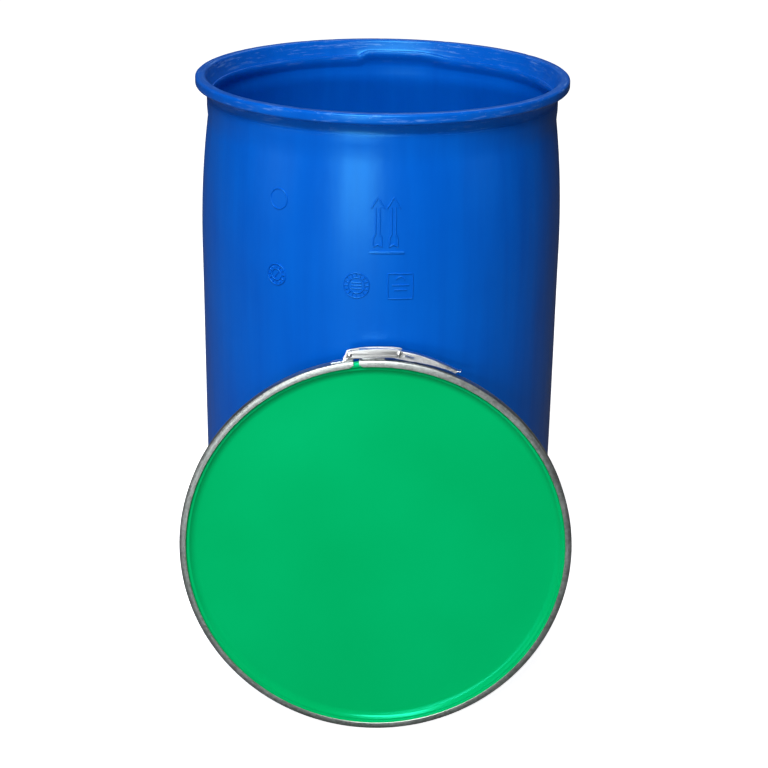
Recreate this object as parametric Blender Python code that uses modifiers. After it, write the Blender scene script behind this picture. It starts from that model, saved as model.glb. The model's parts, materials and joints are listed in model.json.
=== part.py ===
"""Open head plastic drum with its lid and lever-closed clamp ring leaning in front.

The drum stands on the floor behind. The lid, its gasket and the closed ring lean
back towards the drum on the ring's rear edge. Metres, +Z up, +X to the right and
-Y towards the front. The origin is on the floor, at the middle of the whole set.
"""

import math

import bmesh
import bpy
from mathutils import Vector

# Driving dimensions, in metres and degrees.
NAME = "plastic_open_head_drum"
STEPS = 64
RIVET_STEPS = 20
DRUM_Y = 0.050

DRUM_HEIGHT = 0.955
BODY_RADIUS = 0.290
WALL = 0.0045
BASE_CORNER = 0.022
FOOT_INNER_RADIUS = 0.250
BASE_LIFT = 0.014
BASE_DOME = 0.002
FOOT_SLOPE = 0.016
SHOULDER_START = 0.680
SHOULDER_END = 0.880
SHOULDER_CURVE = 0.326
STEP_HEIGHT = 0.920
STEP_RADIUS = 0.2765
NECK_RADIUS = 0.2750
ROLL_OUTER_RADIUS = 0.294
ROLL_TUBE = 0.0085
LEDGE_RADIUS = 0.267
LEDGE_TOP = 0.930
LEDGE_HEIGHT = 0.008
THROAT_HEIGHT = 0.020

RING_RADIUS = 0.2985
RING_WIDTH = 0.024
RING_FLANGE_RADIUS = 0.2900
RING_SHEET = 0.0012
RING_CORNER = 0.003
RING_JOINT_ANGLE = 11.25
RING_JOINT_GAP = 0.0004
LEFT_END_ANGLE = 7.05
RIGHT_END_ANGLE = 5.40
LEAN = 6.25
LID_STAND_OFF = 0.3700  # from the drum's axis to the foot of the ring's rear plane

LID_RADIUS = 0.2965
LID_SHEET = 0.0025
LID_RIM_TOP = RING_WIDTH - RING_SHEET - 0.0003
LID_RECESS = 0.009
LID_BEAD_INNER = 0.2892
LID_STEP_OUTER = 0.2872
LID_STEP_INNER = 0.2815
LID_STEP_DROP = 0.0025
LID_PANEL_RADIUS = 0.271
LID_SKIRT_DEPTH = 0.010
GASKET_INNER = 0.2900
GASKET_OUTER = 0.2940
GASKET_DEPTH = 0.0032

SHEET = 0.0015
PIVOT_A = (0.3075, -7.83)
PIVOT_B = (0.3066, -4.57)
PIVOT_C = (0.3095, 5.75)
BRACKET_BASE_RADIUS = 0.2988
LEVER_BRACKET_HALF = 0.0044
HINGE_BRACKET_HALF = 0.0064
LEVER_HALF = 0.0062
LINK_INNER = 0.0067
LINK_OUTER = 0.0079
LINK_HALF_HEIGHTS = (0.0058, 0.0063, 0.0065, 0.0065, 0.0064, 0.0061)
LEVER_BOTTOM = 0.3022
LEVER_TOP = 0.3140
BRACKET_CLEARANCE = 0.012

# Lines of the lever and its brackets as (ring radius, ring angle in degrees).
HINGE_STRAP = (-13.4, -9.95)
HINGE_EAR_END = -7.10
HINGE_EAR_RADIUS = 0.0058
LEVER_FOOT = (-4.02, 2.0)
LEVER_EAR_FOOT = -1.97
LEVER_EAR_RADIUS = 0.0045
LEVER_HEEL = ((0.3065, -5.22), (0.3040, -5.10), (LEVER_BOTTOM, -4.30))
LEVER_TIP_BELOW = (
    (0.3012, 6.4),
    (0.3006, 8.5),
    (0.3007, 10.5),
    (0.3014, 13.5),
    (0.3021, 17.0),
    (0.3027, 20.5),
    (0.3045, 22.4),
    (0.3060, 23.0),
)
LEVER_LIP = ((0.3118, 23.75), (0.3124, 23.50), (0.3085, 22.75))
LEVER_TIP_ABOVE = (
    (0.3071, 22.0),
    (0.3074, 21.0),
    (0.3084, 19.4),
    (0.3096, 17.2),
    (0.3114, 14.0),
    (0.3128, 11.0),
    (0.3137, 8.5),
)
LEVER_HOLLOW_TIP = (
    (0.2990, 20.5),
    (0.3055, 20.6),
    (0.3069, 19.3),
    (0.3081, 17.1),
    (0.3099, 13.9),
    (0.3113, 10.9),
    (0.3122, 8.4),
)
SEAL_SLOT = (0.3063, 7.9, 10.0)
SEAL_SLOT_HALF = 0.0018
PIN_RADIUS = 0.0025
SHANK_RADIUS = 0.0024
HOLE_RADIUS = 0.0028
HEAD_GAP = 0.0003
HEAD_HEIGHT = 0.0016
LINK_HEAD_RADIUS = 0.0042
END_HEAD_RADIUS = 0.0039

BLUE = (0.002, 0.108, 0.690, 1.0)
GREEN = (0.002, 0.470, 0.130, 1.0)
BLACK = (0.020, 0.020, 0.022, 1.0)
STEEL = (0.620, 0.640, 0.650, 1.0)
LINK_STEEL = (0.480, 0.500, 0.510, 1.0)
RIVET_STEEL = (0.720, 0.730, 0.740, 1.0)


def clear_scene():
    for obj in list(bpy.data.objects):
        bpy.data.objects.remove(obj, do_unlink=True)


def new_collection(name):
    collection = bpy.data.collections.new(name)
    bpy.context.scene.collection.children.link(collection)
    return collection


def material(name, colour, roughness, metallic=0.0):
    result = bpy.data.materials.new(name)
    result.use_nodes = True
    shader = result.node_tree.nodes["Principled BSDF"]
    shader.inputs["Base Color"].default_value = colour
    shader.inputs["Roughness"].default_value = roughness
    shader.inputs["Metallic"].default_value = metallic
    return result


def empty(name, location, parent=None):
    """Frame of a joint: it stands on the joint's axis."""
    frame = bpy.data.objects.new(name, None)
    frame.empty_display_size = 0.03
    frame.location = location
    frame.parent = parent
    parts.objects.link(frame)
    return frame


def arc(centre, radius, start, end, count):
    """Points of a circular arc; angles in degrees, anticlockwise from the first axis."""
    points = []
    for step in range(count + 1):
        angle = math.radians(start + (end - start) * step / count)
        points.append((centre[0] + radius * math.cos(angle), centre[1] + radius * math.sin(angle)))
    return points


def on_ring(radius, angle):
    """Point in the ring's plane; the angle runs clockwise from the top, in degrees."""
    turn = math.radians(angle)
    return (radius * math.sin(turn), radius * math.cos(turn))


def ring_arc(radius, start, end, count):
    return [on_ring(radius, start + (end - start) * step / count) for step in range(count + 1)]


def finish_object(obj, surface, smooth_angle=35.0):
    obj.data.materials.append(surface)
    obj.data.shade_smooth()
    obj.data.set_sharp_from_angle(angle=math.radians(smooth_angle))


def turned(name, profile, surface, steps=STEPS, span=360.0, start=0.0):
    """Solid or sheet made by turning a profile of (radius, height) points about Z."""
    mesh = bpy.data.meshes.new(name)
    first = math.radians(start)
    verts = [(r * math.cos(first), r * math.sin(first), z) for r, z in profile]
    mesh.from_pydata(verts, [(i, i + 1) for i in range(len(verts) - 1)], [])
    obj = bpy.data.objects.new(name, mesh)
    parts.objects.link(obj)
    screw = obj.modifiers.new("turn", "SCREW")
    screw.angle = math.radians(span)
    screw.steps = steps
    screw.render_steps = steps
    screw.use_merge_vertices = True
    screw.merge_threshold = 0.00001
    screw.use_smooth_shade = True
    obj.data.materials.append(surface)
    return obj


def outline_solid(name, loops, low, high, collection):
    """Flat outline with its holes, extruded along Z from low to high, as a mesh object."""
    curve = bpy.data.curves.new(name + "_outline", "CURVE")
    curve.dimensions = "2D"
    curve.fill_mode = "BOTH"
    curve.extrude = (high - low) / 2
    for loop in loops:
        spline = curve.splines.new("POLY")
        spline.points.add(len(loop) - 1)
        for point, (x, y) in zip(spline.points, loop):
            point.co = (x, y, 0.0, 1.0)
        spline.use_cyclic_u = True
    source = bpy.data.objects.new(name + "_outline", curve)
    collection.objects.link(source)
    bpy.context.view_layer.update()
    evaluated = source.evaluated_get(bpy.context.evaluated_depsgraph_get())
    mesh = bpy.data.meshes.new_from_object(evaluated)
    mesh.name = name
    work = bmesh.new()
    work.from_mesh(mesh)
    bmesh.ops.remove_doubles(work, verts=work.verts, dist=0.000005)
    bmesh.ops.translate(work, verts=work.verts, vec=(0.0, 0.0, (low + high) / 2))
    bmesh.ops.recalc_face_normals(work, faces=work.faces)
    work.to_mesh(mesh)
    work.free()
    mesh.materials.clear()
    obj = bpy.data.objects.new(name, mesh)
    obj.matrix_world = source.matrix_world
    collection.objects.link(obj)
    bpy.data.objects.remove(source, do_unlink=True)
    return obj


def cut(target, cutter):
    cutter.hide_render = True
    cutter.display_type = "WIRE"
    cutter.parent = target
    boolean = target.modifiers.new("cut_" + cutter.name, "BOOLEAN")
    boolean.operation = "DIFFERENCE"
    boolean.solver = "EXACT"
    boolean.object = cutter


def pin_hole(target, pivot, radius=HOLE_RADIUS):
    bpy.ops.mesh.primitive_cylinder_add(vertices=RIVET_STEPS, radius=radius, depth=4 * LINK_OUTER)
    cutter = bpy.context.active_object
    cutter.name = "{}_hole_{}".format(target.name, len(target.modifiers))
    for owner in list(cutter.users_collection):
        owner.objects.unlink(cutter)
    cutters.objects.link(cutter)
    x, y = on_ring(*pivot)
    cutter.location = (x, y, RING_WIDTH / 2)
    cut(target, cutter)


def head_profile(low, radius):
    """Domed head, from the edge of its flat underside at low to its crown."""
    return [
        (0.0, low + HEAD_HEIGHT),
        (radius * 0.55, low + HEAD_HEIGHT * 0.86),
        (radius * 0.88, low + HEAD_HEIGHT * 0.50),
        (radius, low),
    ]


def mirrored(profile, middle):
    """The same profile upside down about a height, in the order that runs down."""
    return [(r, 2 * middle - z) for r, z in reversed(profile)]


def shoulder_radius(height):
    return BODY_RADIUS - SHOULDER_CURVE * max(0.0, height - SHOULDER_START) ** 2


def drum_profile():
    """Inner floor, inner wall, lip, rolled rim, outer wall and foot, as one outline."""
    roll_radius = ROLL_OUTER_RADIUS - ROLL_TUBE
    roll_height = DRUM_HEIGHT - ROLL_TUBE
    heights = [SHOULDER_START + (SHOULDER_END - SHOULDER_START) * step / 5 for step in range(6)]
    corner = (BODY_RADIUS - BASE_CORNER, BASE_CORNER)
    slope_end = FOOT_INNER_RADIUS - FOOT_SLOPE
    inner = [(0.0, BASE_LIFT + WALL + BASE_DOME), (slope_end, BASE_LIFT + WALL)]
    inner += [(FOOT_INNER_RADIUS - BASE_DOME, WALL)]
    inner += arc(corner, BASE_CORNER - WALL, -90, 0, 3)
    inner += [(shoulder_radius(height) - WALL, height) for height in heights]
    inner += [(STEP_RADIUS - WALL, LEDGE_TOP - THROAT_HEIGHT), (LEDGE_RADIUS, LEDGE_TOP - LEDGE_HEIGHT)]
    inner += [(LEDGE_RADIUS, LEDGE_TOP)]
    rim = arc((roll_radius, roll_height), ROLL_TUBE, 180, -90, 9)
    outer = [(NECK_RADIUS, roll_height - ROLL_TUBE - 0.001), (NECK_RADIUS, STEP_HEIGHT + 0.001)]
    outer += [(STEP_RADIUS, STEP_HEIGHT)]
    outer += [(shoulder_radius(height), height) for height in reversed(heights)]
    outer += arc(corner, BASE_CORNER, 0, -90, 4)
    outer += [(FOOT_INNER_RADIUS, 0.0), (slope_end + BASE_DOME, BASE_LIFT - BASE_DOME)]
    outer += [(0.0, BASE_LIFT)]
    return inner + rim + outer


def make_drum():
    drum = turned("drum_body", drum_profile(), blue)
    drum.location = (0.0, DRUM_Y, 0.0)
    return drum


def lid_profile():
    """Dished panel, sloping wall, step, rim bead and skirt; heights from the rear plane."""
    panel = LID_RIM_TOP - LID_RECESS
    step = LID_RIM_TOP - LID_STEP_DROP
    run = LID_STEP_INNER - LID_PANEL_RADIUS
    drop = step - panel
    slope = math.hypot(run, drop)
    shift = LID_SHEET * drop / slope - (LID_SHEET - LID_SHEET * run / slope) * run / drop
    under_rim = LID_RIM_TOP - LID_SHEET
    under_step = step - LID_SHEET
    under_panel = panel - LID_SHEET
    skirt_end = LID_RIM_TOP - LID_SKIRT_DEPTH
    return [
        (0.0, panel),
        (LID_PANEL_RADIUS - 0.0015, panel),
        (LID_PANEL_RADIUS + 0.0012, panel + 0.0012),
        (LID_STEP_INNER - 0.0012, step - 0.0008),
        (LID_STEP_INNER + 0.0010, step),
        (LID_STEP_OUTER, step),
        (LID_BEAD_INNER, LID_RIM_TOP),
        (LID_RADIUS - 0.0020, LID_RIM_TOP),
        (LID_RADIUS, LID_RIM_TOP - 0.0020),
        (LID_RADIUS, skirt_end),
        (LID_RADIUS - 0.0020, skirt_end),
        (LID_RADIUS - 0.0020, under_rim),
        (LID_BEAD_INNER + 0.0005, under_rim),
        (LID_STEP_OUTER + 0.0007, under_step),
        (LID_STEP_INNER + shift, under_step),
        (LID_PANEL_RADIUS + shift, under_panel),
        (0.0, under_panel),
    ]


def make_lid():
    return turned("lid", lid_profile(), green)


def make_gasket():
    top = LID_RIM_TOP - LID_SHEET - 0.0003
    low = top - GASKET_DEPTH
    bevel = 0.0008
    profile = [
        (GASKET_INNER, low + bevel),
        (GASKET_INNER, top),
        (GASKET_OUTER, top),
        (GASKET_OUTER, low + bevel),
        (GASKET_OUTER - bevel, low),
        (GASKET_INNER + bevel, low),
        (GASKET_INNER, low + bevel),
    ]
    return turned("lid_gasket", profile, black)


def ring_profile():
    """Outer face of the ring's C section, from its front flange round to the rear one."""
    side = RING_RADIUS - RING_CORNER
    profile = [(RING_FLANGE_RADIUS, RING_WIDTH)]
    profile += arc((side, RING_WIDTH - RING_CORNER), RING_CORNER, 90, 0, 2)
    profile += arc((side, RING_CORNER), RING_CORNER, 0, -90, 2)
    profile += [(RING_FLANGE_RADIUS, 0.0)]
    return profile


def make_ring_piece(name, first, last, steps):
    """Length of the clamp ring between two angles taken clockwise from the top."""
    piece = turned(name, ring_profile(), steel, steps=steps, span=last - first, start=90 - last)
    solid = piece.modifiers.new("sheet", "SOLIDIFY")
    solid.thickness = RING_SHEET
    solid.offset = -1.0
    solid.use_even_offset = True
    return piece


def channel(name, outline, inner_outline, half_width, surface):
    """Pressed channel: the outline's solid with its inside cut out between two side plates."""
    middle = RING_WIDTH / 2
    solid = outline_solid(name, [outline], middle - half_width, middle + half_width, parts)
    inside = half_width - SHEET
    hollow = outline_solid(name + "_inside", [inner_outline], middle - inside, middle + inside, cutters)
    cut(solid, hollow)
    finish_object(solid, surface)
    return solid


def around(pivot, radius, start, end, count):
    return arc(on_ring(*pivot), radius, start, end, count)


def hollow_above(floor, first, last, roof):
    """Space between a bracket's ears, from the top of its strap to well above its pivot."""
    return ring_arc(floor, first, last, 3) + [on_ring(roof, last), on_ring(roof, first)]


def make_hinge_bracket():
    """Bracket on the ring's left end: a strap with two ears that hold the link's pivot."""
    top = BRACKET_BASE_RADIUS + SHEET
    strap_end, ear_start = HINGE_STRAP
    outline = ring_arc(BRACKET_BASE_RADIUS, HINGE_EAR_END, strap_end, 3)
    outline += [on_ring(top, strap_end), on_ring(top, ear_start)]
    outline += around(PIVOT_A, HINGE_EAR_RADIUS, 140, 0, 6)
    inner = hollow_above(top, strap_end - 0.5, HINGE_EAR_END + 1.5, PIVOT_A[0] + BRACKET_CLEARANCE)
    bracket = channel("hinge_bracket", outline, inner, HINGE_BRACKET_HALF, steel)
    pin_hole(bracket, PIVOT_A)
    return bracket


def make_lever_bracket():
    """Bracket on the ring's right end: a foot with two ears that hold the lever's pivot."""
    top = BRACKET_BASE_RADIUS + SHEET
    foot_start, foot_end = LEVER_FOOT
    outline = ring_arc(BRACKET_BASE_RADIUS, foot_start, foot_end, 3)
    outline += [on_ring(top, foot_end), on_ring(top, LEVER_EAR_FOOT)]
    outline += around(PIVOT_B, LEVER_EAR_RADIUS, 20, 280, 9)
    inner = hollow_above(top, foot_start - 2.5, foot_end + 0.6, PIVOT_B[0] + BRACKET_CLEARANCE)
    bracket = channel("lever_bracket", outline, inner, LEVER_BRACKET_HALF, steel)
    pin_hole(bracket, PIVOT_B)
    return bracket


def lever_outline():
    """Side view of the lever, from its heel along the bottom to the lip and back on top."""
    straight = ring_arc(LEVER_BOTTOM, -2.0, 4.4, 3)
    tip = [on_ring(*point) for point in LEVER_TIP_BELOW + LEVER_LIP + LEVER_TIP_ABOVE]
    heel = [on_ring(*point) for point in LEVER_HEEL]
    return heel + straight + tip + ring_arc(LEVER_TOP, 6.0, -5.0, 5)


def lever_inside():
    """Side view of the lever's hollow, which is open below and at the heel."""
    below = ring_arc(LEVER_BOTTOM - 0.004, -7.0, 18.0, 8)
    tip = [on_ring(*point) for point in LEVER_HOLLOW_TIP]
    return below + tip + ring_arc(LEVER_TOP - SHEET, 6.0, -7.0, 6)


def make_lever():
    lever = channel("lever", lever_outline(), lever_inside(), LEVER_HALF, steel)
    pin_hole(lever, PIVOT_B)
    pin_hole(lever, PIVOT_C)
    slot_radius, slot_start, slot_end = SEAL_SLOT
    left = arc(on_ring(slot_radius, slot_start), SEAL_SLOT_HALF, 90, 270, 4)
    right = arc(on_ring(slot_radius, slot_end), SEAL_SLOT_HALF, -90, 90, 4)
    slot = outline_solid("lever_seal_slot", [left + right], -0.02, 0.05, cutters)
    cut(lever, slot)
    return lever


def link_outline():
    """Curved bar with round ends about the two pivots, and its two holes."""
    start = PIVOT_A[1]
    end = PIVOT_C[1]
    middle_a = math.degrees(math.atan2(*reversed(on_ring(*PIVOT_A))))
    middle_c = math.degrees(math.atan2(*reversed(on_ring(*PIVOT_C))))
    outline = around(PIVOT_A, LINK_HALF_HEIGHTS[0], middle_a + 180, middle_a, 6)[:-1]
    stations = []
    for step, half in enumerate(LINK_HALF_HEIGHTS):
        share = step / (len(LINK_HALF_HEIGHTS) - 1)
        middle = PIVOT_A[0] + (PIVOT_C[0] - PIVOT_A[0]) * share
        stations.append((middle, half, start + (end - start) * share))
    outline += [on_ring(middle + half, angle) for middle, half, angle in stations]
    outline += around(PIVOT_C, LINK_HALF_HEIGHTS[-1], middle_c, middle_c - 180, 6)[1:-1]
    outline += [on_ring(middle - half, angle) for middle, half, angle in reversed(stations)]
    return outline[:-1]


def make_link(name, low, high):
    holes = [around(pivot, HOLE_RADIUS, 0, 342, 19) for pivot in (PIVOT_A, PIVOT_C)]
    middle = RING_WIDTH / 2
    link = outline_solid(name, [link_outline()] + holes, middle + low, middle + high, parts)
    finish_object(link, link_steel)
    return link


def attach_rivets(left, right, lever_frame, link_frame, origins):
    """The three pivots of the lever mechanism; the link carries its own rivet heads."""
    pin = HINGE_BRACKET_HALF
    reach = LINK_OUTER + HEAD_GAP
    plain = [(0.0, pin), (PIN_RADIUS, pin), (PIN_RADIUS, -pin), (0.0, -pin)]
    shank = SHANK_RADIUS
    half_rivet = head_profile(reach, LINK_HEAD_RADIUS) + [(shank, reach)]
    through = half_rivet + mirrored(half_rivet, 0.0)
    stud = head_profile(reach, END_HEAD_RADIUS) + [(shank, reach), (shank, LINK_INNER), (0.0, LINK_INNER)]
    left_point, right_point, lever_point, link_point = origins
    rivets = (
        ("lever_pivot_rivet", PIVOT_B, plain, right, right_point),
        ("link_rivet", PIVOT_C, through, lever_frame, lever_point),
        ("ring_end_rivet", PIVOT_A, plain, left, left_point),
        ("ring_end_head_front", PIVOT_A, stud, link_frame, link_point),
        ("ring_end_head_rear", PIVOT_A, mirrored(stud, 0.0), link_frame, link_point),
    )
    for name, pivot, profile, joint_frame, origin in rivets:
        attach(turned(name, profile, rivet_steel, RIVET_STEPS), joint_frame, origin, pivot)


def attach(obj, joint_frame, joint_origin, pivot=None):
    """Hang a piece made in the ring's frame, or about a pivot, on a joint's frame."""
    obj.parent = joint_frame
    obj.location = -joint_origin
    if pivot:
        obj.location += joint_point(*pivot)


def joint_point(radius, angle):
    x, y = on_ring(radius, angle)
    return Vector((x, y, RING_WIDTH / 2))


def make_lid_set():
    """Lid, gasket, clamp ring and lever mechanism, on the frames of their joints."""
    lean = math.radians(LEAN)
    tip_y = DRUM_Y - LID_STAND_OFF - RING_WIDTH * math.cos(lean)
    tip_point = Vector((0.0, -RING_RADIUS, RING_WIDTH))
    tip = empty("lid_tip", (0.0, tip_y, RING_WIDTH * math.sin(lean)))
    tip.rotation_euler = (math.pi / 2 - lean, 0.0, 0.0)
    left_point = joint_point(RING_RADIUS, 180 + RING_JOINT_ANGLE)
    right_point = joint_point(RING_RADIUS, 180 - RING_JOINT_ANGLE)
    lever_point = joint_point(*PIVOT_B)
    link_point = joint_point(*PIVOT_C)
    left = empty("ring_left_open", left_point - tip_point, tip)
    right = empty("ring_right_open", right_point - tip_point, tip)
    lever_frame = empty("lever_swing", lever_point - right_point, right)
    link_frame = empty("link_swing", link_point - lever_point, lever_frame)

    gap = math.degrees(RING_JOINT_GAP / RING_RADIUS)
    low_left = 180 + RING_JOINT_ANGLE
    low_right = 180 - RING_JOINT_ANGLE
    attach(make_lid(), tip, tip_point)
    attach(make_gasket(), tip, tip_point)
    attach(make_ring_piece("clamp_ring_base", low_right, low_left, 4), tip, tip_point)
    left_arc = make_ring_piece("clamp_ring_left", low_left + gap, 360 - LEFT_END_ANGLE, 29)
    right_arc = make_ring_piece("clamp_ring_right", -RIGHT_END_ANGLE, low_right - gap, 31)
    attach(left_arc, left, left_point)
    attach(make_hinge_bracket(), left, left_point)
    attach(right_arc, right, right_point)
    attach(make_lever_bracket(), right, right_point)
    attach(make_lever(), lever_frame, lever_point)
    attach(make_link("link_front", LINK_INNER, LINK_OUTER), link_frame, link_point)
    attach(make_link("link_rear", -LINK_OUTER, -LINK_INNER), link_frame, link_point)
    origins = (left_point, right_point, lever_point, link_point)
    attach_rivets(left, right, lever_frame, link_frame, origins)


clear_scene()
parts = new_collection(NAME)
cutters = new_collection("cutters")
blue = material("drum_blue", BLUE, 0.38)
green = material("lid_green", GREEN, 0.35)
black = material("gasket_rubber", BLACK, 0.70)
steel = material("galvanised_steel", STEEL, 0.38, 1.0)
link_steel = material("link_steel", LINK_STEEL, 0.42, 1.0)
rivet_steel = material("rivet_steel", RIVET_STEEL, 0.30, 1.0)
make_drum()
make_lid_set()
bpy.context.view_layer.update()
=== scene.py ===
"""Looks of the open head drum: blue blow-moulded drum, green lid, clamp ring with its lever.

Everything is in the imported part's own frame, in metres: +Z up, -Y to the front.
"""

import json
import math
import random

import bmesh
import bpy
import numpy as np
from mathutils import Matrix, Vector, noise


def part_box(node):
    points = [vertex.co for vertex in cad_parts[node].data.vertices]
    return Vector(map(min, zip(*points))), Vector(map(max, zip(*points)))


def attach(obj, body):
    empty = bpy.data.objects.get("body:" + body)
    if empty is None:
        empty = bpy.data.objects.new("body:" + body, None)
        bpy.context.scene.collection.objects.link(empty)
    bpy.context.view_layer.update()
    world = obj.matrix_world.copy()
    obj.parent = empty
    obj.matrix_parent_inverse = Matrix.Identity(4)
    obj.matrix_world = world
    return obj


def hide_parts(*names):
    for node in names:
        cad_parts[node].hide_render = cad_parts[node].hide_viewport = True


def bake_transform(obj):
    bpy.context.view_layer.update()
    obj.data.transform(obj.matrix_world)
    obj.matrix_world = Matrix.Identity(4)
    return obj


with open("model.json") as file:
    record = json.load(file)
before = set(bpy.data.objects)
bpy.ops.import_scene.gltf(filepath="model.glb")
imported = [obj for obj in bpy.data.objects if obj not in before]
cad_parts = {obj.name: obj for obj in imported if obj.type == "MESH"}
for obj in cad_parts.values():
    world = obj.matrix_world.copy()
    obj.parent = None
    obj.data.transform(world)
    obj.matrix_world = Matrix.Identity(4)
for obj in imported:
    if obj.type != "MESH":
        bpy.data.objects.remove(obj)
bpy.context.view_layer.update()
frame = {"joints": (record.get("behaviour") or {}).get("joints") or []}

# ---------------------------------------------------------------- measures read from the frame

joints = {joint["name"]: joint for joint in frame["joints"]}
drum_low, drum_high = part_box("drum_body")
DRUM_AXIS = Vector(((drum_low.x + drum_high.x) / 2, (drum_low.y + drum_high.y) / 2, 0.0))
DRUM_HEIGHT = drum_high.z
RIM_RADIUS = (drum_high.x - drum_low.x) / 2

RING_JOINT_ANGLE = math.radians(11.25)
left_foot = Vector(joints["ring_left_open"]["pos_m"])
right_foot = Vector(joints["ring_right_open"]["pos_m"])
OUTWARD = Vector(joints["lever_swing"]["axis"]).normalized()
UPWARD = OUTWARD.cross(Vector((1.0, 0.0, 0.0))).normalized()
RING_RADIUS = (right_foot - left_foot).length / 2 / math.sin(RING_JOINT_ANGLE)
RING_CENTRE = (left_foot + right_foot) / 2 + UPWARD * RING_RADIUS * math.cos(RING_JOINT_ANGLE)
RING_FRAME = Matrix.Translation(RING_CENTRE) @ Matrix(
    ((1.0, UPWARD.x, OUTWARD.x), (0.0, UPWARD.y, OUTWARD.y), (0.0, UPWARD.z, OUTWARD.z))
).to_4x4()
RING_HALF_WIDTH = 0.012

lid_low, lid_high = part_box("lid")
LID_RADIUS = (lid_high.x - lid_low.x) / 2
LID_FACE = RING_HALF_WIDTH - 0.0015
LID_RECESS = 0.009
LID_SHEET = 0.0025
BEAD_INNER = LID_RADIUS - 0.0076
STEP_OUTER = LID_RADIUS - 0.0094
STEP_INNER = LID_RADIUS - 0.0128
STEP_DROP = 0.0034
LID_ROUND = 0.0048
PANEL_RADIUS = LID_RADIUS - 0.0185
PANEL_FILLET = 0.0135
PANEL_CROWN = 0.0008

# ---------------------------------------------------------------- mesh helpers

MERGE_DISTANCE = 0.000002
OUTLINE_MERGE = 0.000005
SMALLEST_EDGE = 0.0000005


def add_object(name, mesh, surface, smooth_angle=40.0):
    mesh.materials.clear()
    mesh.materials.append(surface)
    mesh.shade_smooth()
    mesh.set_sharp_from_angle(angle=math.radians(smooth_angle))
    obj = bpy.data.objects.new(name, mesh)
    bpy.context.scene.collection.objects.link(obj)
    return obj


def clean_mesh(name, verts, faces):
    mesh = bpy.data.meshes.new(name)
    mesh.from_pydata([tuple(v) for v in verts], [], faces)
    work = bmesh.new()
    work.from_mesh(mesh)
    bmesh.ops.remove_doubles(work, verts=work.verts, dist=MERGE_DISTANCE)
    bmesh.ops.dissolve_degenerate(work, edges=work.edges, dist=SMALLEST_EDGE)
    bmesh.ops.recalc_face_normals(work, faces=work.faces)
    work.to_mesh(mesh)
    work.free()
    return mesh


def grid_faces(rows, columns, close_rows, close_columns):
    faces = []
    for i in range(rows if close_rows else rows - 1):
        for j in range(columns if close_columns else columns - 1):
            i2 = (i + 1) % rows
            j2 = (j + 1) % columns
            faces.append((i * columns + j, i2 * columns + j, i2 * columns + j2, i * columns + j2))
    return faces


def sweep_mesh(name, sections, closed_path, closed_section=True):
    """Skin over sections of equal length; an open path gets flat ends."""
    count = len(sections)
    size = len(sections[0])
    verts = [point for section in sections for point in section]
    faces = grid_faces(count, size, closed_path, closed_section)
    if closed_section and not closed_path:
        faces.append(tuple(range(size)))
        faces.append(tuple(range((count - 1) * size, count * size)))
    return clean_mesh(name, verts, faces)


def revolve(name, profile_at, steps, surface, frame_matrix, smooth_angle=40.0):
    """Turns a profile of (radius, height) points, which may change with the angle, about Z."""
    sections = []
    for step in range(steps):
        angle = 2 * math.pi * step / steps
        c, s = math.cos(angle), math.sin(angle)
        sections.append([(r * c, r * s, z) for r, z in profile_at(angle)])
    mesh = sweep_mesh(name, sections, True, False)
    mesh.transform(frame_matrix)
    return add_object(name, mesh, surface, smooth_angle)


def arc(centre, radius, start, end, count):
    """Points of a circle's arc between two angles in degrees, both ends included."""
    points = []
    for step in range(count + 1):
        angle = math.radians(start + (end - start) * step / count)
        points.append((centre[0] + radius * math.cos(angle), centre[1] + radius * math.sin(angle)))
    return points


def on_ring(radius, angle):
    """Point of the ring's plane, its angle clockwise from the top in degrees."""
    turn = math.radians(angle)
    return (radius * math.sin(turn), radius * math.cos(turn))


def ring_arc(radius, start, end, count):
    """Points of the ring's plane at one radius, between two of its angles."""
    return [on_ring(radius, start + (end - start) * step / count) for step in range(count + 1)]


def rounded(corners, steps=4):
    """Line of (radius, height) points from (radius, height, fillet) corners, each one rounded."""
    points = []
    for index, (x, y, fillet) in enumerate(corners):
        corner = Vector((x, y))
        if fillet == 0.0 or index in (0, len(corners) - 1):
            points.append((x, y))
            continue
        back = (Vector(corners[index - 1][:2]) - corner).normalized()
        ahead = (Vector(corners[index + 1][:2]) - corner).normalized()
        half = back.angle(ahead) / 2
        reach = fillet / math.tan(half)
        centre = corner + (back + ahead).normalized() * (fillet / math.sin(half))
        first = corner + back * reach - centre
        sweep = first.angle_signed(corner + ahead * reach - centre)
        for step in range(steps + 1):
            turn = -sweep * step / steps
            c, s = math.cos(turn), math.sin(turn)
            points.append((centre.x + first.x * c - first.y * s, centre.y + first.x * s + first.y * c))
    return points


def flipped(profile):
    """A (radius, height) line seen in a mirror at height 0, in the opposite order."""
    return [(r, -z) for r, z in reversed(profile)]


def smoothstep(low, high, value):
    """Goes smoothly from 0 at low to 1 at high; low may be the larger of the two."""
    t = min(1.0, max(0.0, (value - low) / (high - low)))
    return t * t * (3 - 2 * t)


# ---------------------------------------------------------------- materials

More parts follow.
